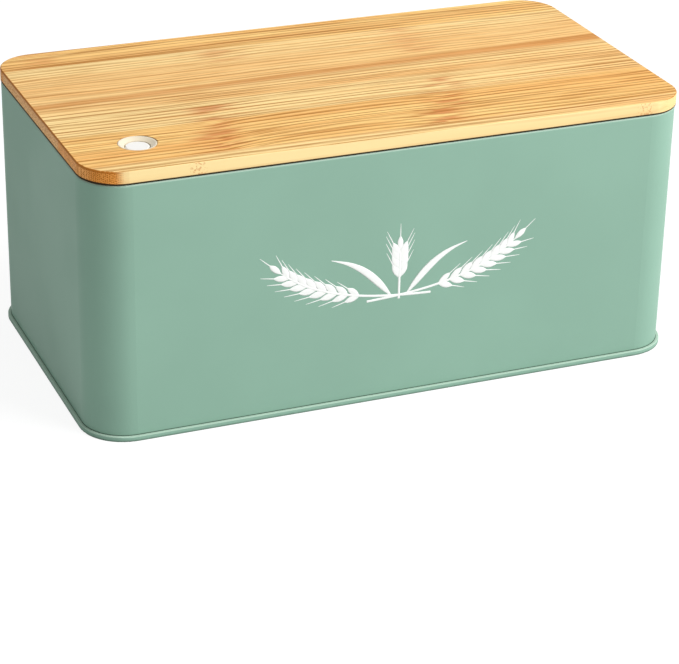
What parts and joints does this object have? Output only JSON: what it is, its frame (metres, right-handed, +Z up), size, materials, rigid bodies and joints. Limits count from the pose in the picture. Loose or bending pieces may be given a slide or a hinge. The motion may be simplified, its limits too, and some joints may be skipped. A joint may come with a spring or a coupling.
{
  "type": "bread box",
  "caption": "Rounded rectangular sheet-steel bread box with a rolled foot seam and a lift-off laminated bamboo lid that carries a round air vent and turns over as a bread board.",
  "frame": {"origin": "on the table, under the middle of the case", "axes": "+X along the long front, +Y from the front to the back, +Z up"},
  "size_m": [0.3336, 0.1836, 0.147],
  "materials": {
    "sage_paint": "satin",
    "bamboo_pale": "satin",
    "bamboo_honey": "satin",
    "bamboo_caramel": "satin",
    "ivory_plastic": "semi-gloss",
    "white_plastic": "semi-gloss"
  },
  "bodies": {
    "case": {"wall_band": "sage_paint", "base_pan": "sage_paint"},
    "lid": {"lid_top_strip_1": "bamboo_pale", "lid_top_strip_2": "bamboo_honey", "lid_top_strip_3": "bamboo_honey", "lid_top_strip_4": "bamboo_pale", "lid_top_strip_5": "bamboo_honey", "lid_top_strip_6": "bamboo_caramel", "lid_top_strip_7": "bamboo_pale", "lid_top_strip_8": "bamboo_honey", "lid_top_strip_9": "bamboo_caramel", "lid_plinth_strip_1": "bamboo_honey", "lid_plinth_strip_2": "bamboo_pale", "lid_plinth_strip_3": "bamboo_caramel", "lid_plinth_strip_4": "bamboo_honey", "lid_plinth_strip_5": "bamboo_pale", "lid_plinth_strip_6": "bamboo_honey", "lid_plinth_strip_7": "bamboo_caramel", "vent_ring": "ivory_plastic", "vent_retainer": "ivory_plastic"},
    "vent_cap": {"vent_cap": "white_plastic"}
  },
  "joints": [
    {"name": "lid_lift", "type": "slide", "parent": "case", "child": "lid", "axis": [0, 0, 1], "range_m": [0, 0.15]},
    {"name": "vent_cap_pull", "type": "slide", "parent": "lid", "child": "vent_cap", "axis": [0, 0, 1], "range_m": [0, 0.014]}
  ]
}
